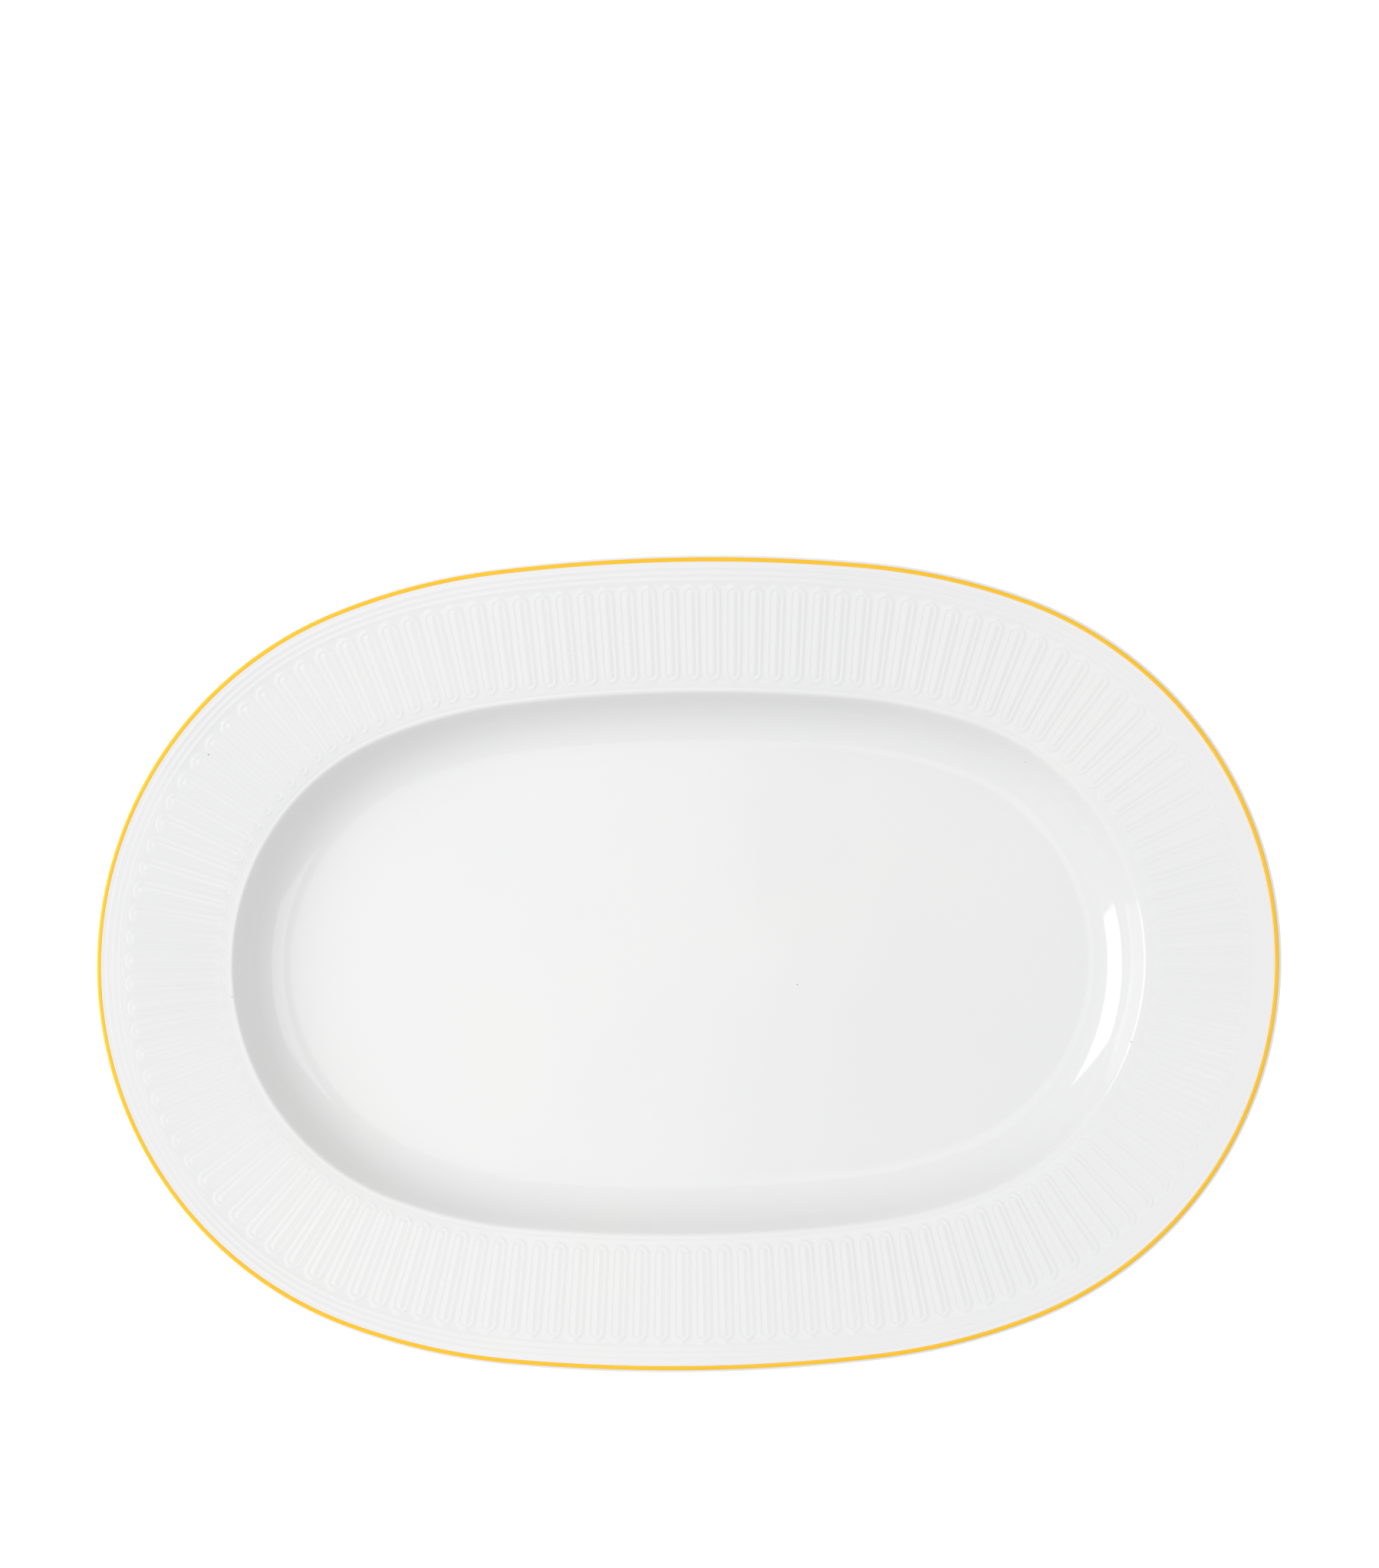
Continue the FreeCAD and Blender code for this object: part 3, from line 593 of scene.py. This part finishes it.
# %% Node helpers
def group(name, inputs, outputs):
    """A shader node group with named float, colour or vector sockets; returns it with its two ends."""
    kinds = {"float": "NodeSocketFloat", "color": "NodeSocketColor", "vector": "NodeSocketVector"}
    tree = bpy.data.node_groups.new(name, "ShaderNodeTree")
    for socket, (kind, default) in inputs.items():
        made = tree.interface.new_socket(socket, in_out="INPUT", socket_type=kinds[kind])
        made.default_value = default
    for socket, kind in outputs.items():
        tree.interface.new_socket(socket, in_out="OUTPUT", socket_type=kinds[kind])
    return tree, tree.nodes.new("NodeGroupInput"), tree.nodes.new("NodeGroupOutput")


def node(tree, kind, settings=None, **values):
    """A node with its own settings and the given input values; underscores stand for spaces."""
    made = tree.nodes.new(kind)
    for key, setting in (settings or {}).items():
        setattr(made, key, setting)
    for key, number in values.items():
        made.inputs[key.replace("_", " ")].default_value = number
    return made


def maths(tree, operation, *terms, clamp=False):
    """The result of a Math node on sockets and numbers."""
    made = node(tree, "ShaderNodeMath", {"operation": operation, "use_clamp": clamp})
    for place, term in enumerate(terms):
        if isinstance(term, bpy.types.NodeSocket):
            tree.links.new(term, made.inputs[place])
        else:
            made.inputs[place].default_value = term
    return made.outputs[0]


def blended(tree, share, first, second):
    """Two colours mixed by a share; each may be a socket or a plain colour."""
    made = node(tree, "ShaderNodeMix", {"data_type": "RGBA"})
    for term, place in ((share, 0), (first, 6), (second, 7)):
        if isinstance(term, bpy.types.NodeSocket):
            tree.links.new(term, made.inputs[place])
        else:
            made.inputs[place].default_value = term
    return made.outputs[2]


def noise(tree, vector, scale, detail=2.0, roughness=0.5):
    """A noise texture's value at a coordinate."""
    made = node(tree, "ShaderNodeTexNoise", Scale=scale, Detail=detail, Roughness=roughness)
    tree.links.new(vector, made.inputs["Vector"])
    return made.outputs[0]


def spread(tree, value, low, high, to_low=0.0, to_high=1.0):
    """A value stretched from one range to another, and held at its ends."""
    made = node(tree, "ShaderNodeMapRange", {"clamp": True})
    tree.links.new(value, made.inputs["Value"])
    for name, number in zip(("From Min", "From Max", "To Min", "To Max"), (low, high, to_low, to_high)):
        made.inputs[name].default_value = number
    return made.outputs[0]


# %% [markdown]
# The drift mixes two tones by a broad noise. Specks are the cells of a Voronoi pattern whose middle
# happens to lie within a hair of the surface, and only some of them. The ripple adds a long swell to a
# fine orange-peel.

# %% Shared effects
def make_tone_drift():
    """Two tones mixed by a noise of some scale, so that no area is one flat colour."""
    white = ("color", (1, 1, 1, 1))
    inputs = {"Vector": ("vector", (0, 0, 0)), "First": white, "Second": white, "Scale": ("float", 9.0)}
    tree, inlet, outlet = group("tone_drift", inputs, {"Color": "color"})
    cloud = node(tree, "ShaderNodeTexNoise", Detail=3.0, Roughness=0.55)
    tree.links.new(inlet.outputs["Vector"], cloud.inputs["Vector"])
    tree.links.new(inlet.outputs["Scale"], cloud.inputs["Scale"])
    share = spread(tree, cloud.outputs[0], 0.36, 0.64)
    mixed = blended(tree, share, inlet.outputs["First"], inlet.outputs["Second"])
    tree.links.new(mixed, outlet.inputs["Color"])
    return tree


def make_kiln_specks():
    """A mask of rare small dots: 1 within the given radius of some of the pattern's cell middles."""
    tree, inlet, outlet = group("kiln_specks", {"Vector": ("vector", (0, 0, 0)), "Radius": ("float", 0.0003),
                                                "Amount": ("float", 0.5)}, {"Mask": "float"})
    cells_per_metre = 62.0
    cells = node(tree, "ShaderNodeTexVoronoi", {"feature": "F1"}, Scale=cells_per_metre)
    tree.links.new(inlet.outputs["Vector"], cells.inputs["Vector"])
    reach = maths(tree, "MULTIPLY", inlet.outputs["Radius"], cells_per_metre)
    inside = maths(tree, "SUBTRACT", 1.0, maths(tree, "DIVIDE", cells.outputs["Distance"], reach), clamp=True)
    chosen = node(tree, "ShaderNodeSeparateColor")
    tree.links.new(cells.outputs["Color"], chosen.inputs[0])
    kept = maths(tree, "LESS_THAN", chosen.outputs[0], inlet.outputs["Amount"])
    tree.links.new(maths(tree, "MULTIPLY", spread(tree, inside, 0.0, 0.5), kept), outlet.inputs["Mask"])
    return tree


def make_melt_ripple():
    """Height of a surface that was once molten: a long swell and a fine orange-peel, each with an amount."""
    tree, inlet, outlet = group("melt_ripple", {"Vector": ("vector", (0, 0, 0)), "Swell": ("float", 0.5),
                                                "Peel": ("float", 0.05)}, {"Height": "float"})
    place = inlet.outputs["Vector"]
    swelling = maths(tree, "MULTIPLY", noise(tree, place, 24.0, 1.0), inlet.outputs["Swell"])
    peel = maths(tree, "MULTIPLY", noise(tree, place, 420.0, 2.0), inlet.outputs["Peel"])
    tree.links.new(maths(tree, "ADD", swelling, peel), outlet.inputs["Height"])
    return tree


tone_drift, kiln_specks, melt_ripple = make_tone_drift(), make_kiln_specks(), make_melt_ripple()
print("shared effects:", tone_drift.name, kiln_specks.name, melt_ripple.name)


# %% [markdown]
# A finish starts as a plain Principled shader. The helpers below place a shared effect in it with its own
# amounts, and let the shader feel a height as a bump.

# %% Placing the effects in a finish
def finish(name, roughness):
    """A new material with a Principled shader; returns the material, its tree, the shader and Object
    coordinates."""
    material = bpy.data.materials.new(name)
    material.use_nodes = True
    tree = material.node_tree
    shader = tree.nodes["Principled BSDF"]
    shader.inputs["Roughness"].default_value = roughness
    place = node(tree, "ShaderNodeTexCoord").outputs["Object"]
    return material, tree, shader, place


def effect(tree, group_tree, vector, **values):
    """A shared effect placed in a material, with its own amounts; returns its first output."""
    made = node(tree, "ShaderNodeGroup", {"node_tree": group_tree}, **values)
    tree.links.new(vector, made.inputs["Vector"])
    return made.outputs[0]


def bump(tree, shader, height, distance):
    """A height in metres per unit, felt by the shader through a Bump node."""
    made = node(tree, "ShaderNodeBump", Strength=1.0, Distance=distance)
    tree.links.new(height, made.inputs["Height"])
    tree.links.new(made.outputs[0], shader.inputs["Normal"])


# %% [markdown]
# ### White glaze
#
# Clear glaze on a white body. It is painted a shade cooler and greyer where glaze has gathered, partly
# the glaze's own thickness and partly painted shade, which is how the shallow pattern reads under soft
# light, and a shade warmer where it drew thin, which also paints the shoulder's edge lighter. The gloss is
# nearly sharp.

# %% White glaze
glaze_material, tree, shader, place = finish("white_glaze", 0.06)
shader.inputs["IOR"].default_value = 1.54
tone = effect(tree, tone_drift, place, Scale=11.0,
              First=(0.806, 0.804, 0.800, 1), Second=(0.792, 0.793, 0.796, 1))
# painted shade: this attribute greys the colour in the pattern's hollows and at the wall's foot, on top of
# the real glaze thickness
pool_and_shade_share = node(tree, "ShaderNodeAttribute", {"attribute_name": "pool_and_shade"}).outputs["Fac"]
tone = blended(tree, maths(tree, "MULTIPLY", pool_and_shade_share, 0.12), tone, (0.745, 0.752, 0.765, 1))
specks = effect(tree, kiln_specks, place, Radius=0.00034, Amount=0.55)
tree.links.new(blended(tree, maths(tree, "MULTIPLY", specks, 0.75), tone, (0.23, 0.19, 0.15, 1)),
               shader.inputs["Base Color"])
gloss = spread(tree, noise(tree, place, 60.0, 3.0), 0.3, 0.7, 0.045, 0.095)
tree.links.new(gloss, shader.inputs["Roughness"])
bump(tree, shader, effect(tree, melt_ripple, place, Swell=1.0, Peel=0.035), 0.00012)

# %% [markdown]
# ### Bare china
#
# Fired clay shows only on the foot. It is matt, a little creamy and finely grained, and a platter that has
# stood on tables has a grey line worn round the land it stands on.

# %% Bare china
china_material, tree, shader, place = finish("bone_china", 0.62)
tone = effect(tree, tone_drift, place, First=(0.80, 0.765, 0.70, 1), Second=(0.76, 0.72, 0.65, 1), Scale=30.0)
height_above_table = node(tree, "ShaderNodeSeparateXYZ")
tree.links.new(place, height_above_table.inputs[0])
scuffs = noise(tree, place, 260.0, 4.0, 0.7)
worn = maths(tree, "MULTIPLY", spread(tree, height_above_table.outputs[2], 0.00035, 0.0, 0.0, 1.0),
             spread(tree, scuffs, 0.42, 0.62, 0.15, 0.8))
tone = blended(tree, worn, tone, (0.42, 0.40, 0.37, 1))
specks = effect(tree, kiln_specks, place, Radius=0.0004, Amount=0.9)
tree.links.new(blended(tree, specks, tone, (0.25, 0.2, 0.15, 1)), shader.inputs["Base Color"])
tree.links.new(spread(tree, worn, 0.0, 1.0, 0.66, 0.45), shader.inputs["Roughness"])
grain = maths(tree, "ADD", maths(tree, "MULTIPLY", noise(tree, place, 2600.0, 3.0, 0.7), 0.5), scuffs)
bump(tree, shader, grain, 0.00005)

# %% [markdown]
# ### Yellow enamel
#
# The colour is a warm egg-yolk yellow, glossy but softer than the glaze. The brush leaves faint streaks
# that run along the stroke. So the streaks read the band's own stroke coordinates: round the oval as a
# circle, which has no seam, and across it.

# %% Yellow enamel
enamel_material, tree, shader, place = finish("yellow_enamel", 0.16)
shader.inputs["IOR"].default_value = 1.5
shader.inputs["Specular IOR Level"].default_value = 0.35
stroke_place = node(tree, "ShaderNodeAttribute", {"attribute_name": "stroke"}).outputs["Vector"]
stretch = node(tree, "ShaderNodeMapping", Scale=(7.0, 7.0, 2.2))
tree.links.new(stroke_place, stretch.inputs["Vector"])
streaks = noise(tree, stretch.outputs[0], 2.4, 4.0, 0.65)
tone = effect(tree, tone_drift, place, Scale=40.0,
              First=(0.94, 0.53, 0.010, 1), Second=(0.96, 0.56, 0.016, 1))
tone = blended(tree, spread(tree, streaks, 0.35, 0.65, 0.0, 0.45), tone, (0.91, 0.49, 0.006, 1))
specks = effect(tree, kiln_specks, place, Radius=0.00025, Amount=0.6)
tree.links.new(blended(tree, specks, tone, (0.35, 0.16, 0.01, 1)), shader.inputs["Base Color"])
tree.links.new(spread(tree, streaks, 0.3, 0.7, 0.13, 0.24), shader.inputs["Roughness"])
height = maths(tree, "ADD", effect(tree, melt_ripple, place, Swell=0.4, Peel=0.08),
               maths(tree, "MULTIPLY", streaks, 0.25))
bump(tree, shader, height, 0.00005)

# %% [markdown]
# The pieces are ready and so are the finishes, so each piece gets its own.

# %% Dress the pieces
for piece, material in ((china_ware, china_material), (glaze_face, glaze_material),
                        (glaze_back, glaze_material), (glaze_base, glaze_material),
                        (enamel_band, enamel_material)):
    piece.data.materials.append(material)
    print(piece.name, "wears", material.name)

# %% [markdown]
# ## Stage, lights and camera
#
# White china on a white table is the hard case: the table has to be brighter than the ware or the outline
# is lost, so the floor gives out a little light of its own.

# %% Floor
def pale_floor(reach=14.0):
    """A level square floor at the platter's lowest point, with a pale matt finish that glows a little."""
    mesh = bpy.data.meshes.new("floor")
    level = float(cad_low[2])
    corners = [(-reach, -reach, level), (reach, -reach, level), (reach, reach, level), (-reach, reach, level)]
    mesh.from_pydata(corners, [], [(0, 1, 2, 3)])
    floor = bpy.data.objects.new("floor", mesh)
    bpy.context.scene.collection.objects.link(floor)
    material = bpy.data.materials.new("pale_floor")
    material.use_nodes = True
    shader = material.node_tree.nodes["Principled BSDF"]
    shader.inputs["Base Color"].default_value = (0.86, 0.86, 0.86, 1)
    shader.inputs["Roughness"].default_value = 0.9
    shader.inputs["Specular IOR Level"].default_value = 0.1
    shader.inputs["Emission Color"].default_value = (1, 1, 1, 1)
    shader.inputs["Emission Strength"].default_value = 0.35
    mesh.materials.append(material)
    floor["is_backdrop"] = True


pale_floor()


# %% [markdown]
# One large soft light stands low on the left. The left wall of the well falls into its own shade, the
# right wall glows, and a bright crescent lies along its foot. Two dimmer boxes overhead even out the rim
# and the well, and pale surroundings fill the shadows.

# %% Lights
def aim(thing, place, target, roll=0.0):
    """Stands a light or a camera at a place, looking at a target, turned about its line of sight."""
    away = (Vector(place) - Vector(target)).normalized()
    right = Vector((math.cos(roll), math.sin(roll), 0))
    up = away.cross(right).normalized()
    right = up.cross(away)
    thing.matrix_world = Matrix.Translation(place) @ Matrix((right, up, away)).transposed().to_4x4()


def soft_box(name, place, target, width, height, brightness):
    """A rectangular soft light of a given brightness: power = brightness * pi * area."""
    lamp = bpy.data.lights.new(name, "AREA")
    lamp.shape, lamp.size, lamp.size_y = "RECTANGLE", width, height
    lamp.energy = brightness * math.pi * width * height
    light = bpy.data.objects.new(name, lamp)
    bpy.context.scene.collection.objects.link(light)
    aim(light, place, target)
    print(f"{name}: {lamp.energy:.1f} W")


soft_box("window_left", (-1.15, 0.15, 0.70), (0, 0, 0), 0.9, 0.9, 3.35)
soft_box("box_overhead", (-0.42, 0.1, 3.2), (-0.2, 0.0, 0), 0.6, 2.2, 0.6)
soft_box("box_right", (1.40, 0.0, 3.0), (0.2, 0.0, 0), 1.5, 1.8, 1.1)


def studio_walls(zenith, horizon):
    """Pale surroundings, brighter overhead than low down: brightness = zenith * up + horizon * (1 - up),
    where up is 1 straight overhead and 0 level. The camera itself sees plain white."""
    world = bpy.data.worlds.new("studio")
    bpy.context.scene.world = world
    world.use_nodes = True
    tree = world.node_tree
    looked_in = node(tree, "ShaderNodeSeparateXYZ")
    tree.links.new(node(tree, "ShaderNodeTexCoord").outputs["Generated"], looked_in.inputs[0])
    up = maths(tree, "MAXIMUM", looked_in.outputs[2], 0.0)
    brightness = maths(tree, "ADD", maths(tree, "MULTIPLY", up, zenith),
                       maths(tree, "MULTIPLY", maths(tree, "SUBTRACT", 1.0, up), horizon))
    seen = node(tree, "ShaderNodeLightPath").outputs["Is Camera Ray"]
    unseen = maths(tree, "SUBTRACT", 1.0, seen)
    shown = maths(tree, "ADD", seen, maths(tree, "MULTIPLY", unseen, brightness))
    tree.links.new(shown, tree.nodes["Background"].inputs["Strength"])
    tree.nodes["Background"].inputs["Color"].default_value = (1, 1, 1, 1)


studio_walls(zenith=0.86, horizon=0.58)

# %% [markdown]
# The camera stands nearly straight above, with a long lens, so the oval isn't bent by perspective.

# %% Camera
LENS, SENSOR = 182.4, 36.0
LOOK_AT = (0.0023, 0.0605, float(cad_high[2]))
STAND_AT = (0.1425, 0.0602, 2.70)
ROLL = math.radians(-0.98)
camera = bpy.data.objects.new("camera", bpy.data.cameras.new("camera"))
bpy.context.scene.collection.objects.link(camera)
camera.data.lens, camera.data.sensor_width = LENS, SENSOR
camera.data.clip_start, camera.data.clip_end = 0.1, 60
aim(camera, STAND_AT, LOOK_AT, ROLL)
bpy.context.scene.camera = camera
bpy.context.scene.view_settings.view_transform = "Standard"
tilt = math.degrees(math.atan2(STAND_AT[0] - LOOK_AT[0], STAND_AT[2] - LOOK_AT[2]))
print(f"camera with a {LENS} mm lens, {tilt:.1f} degrees off straight down")
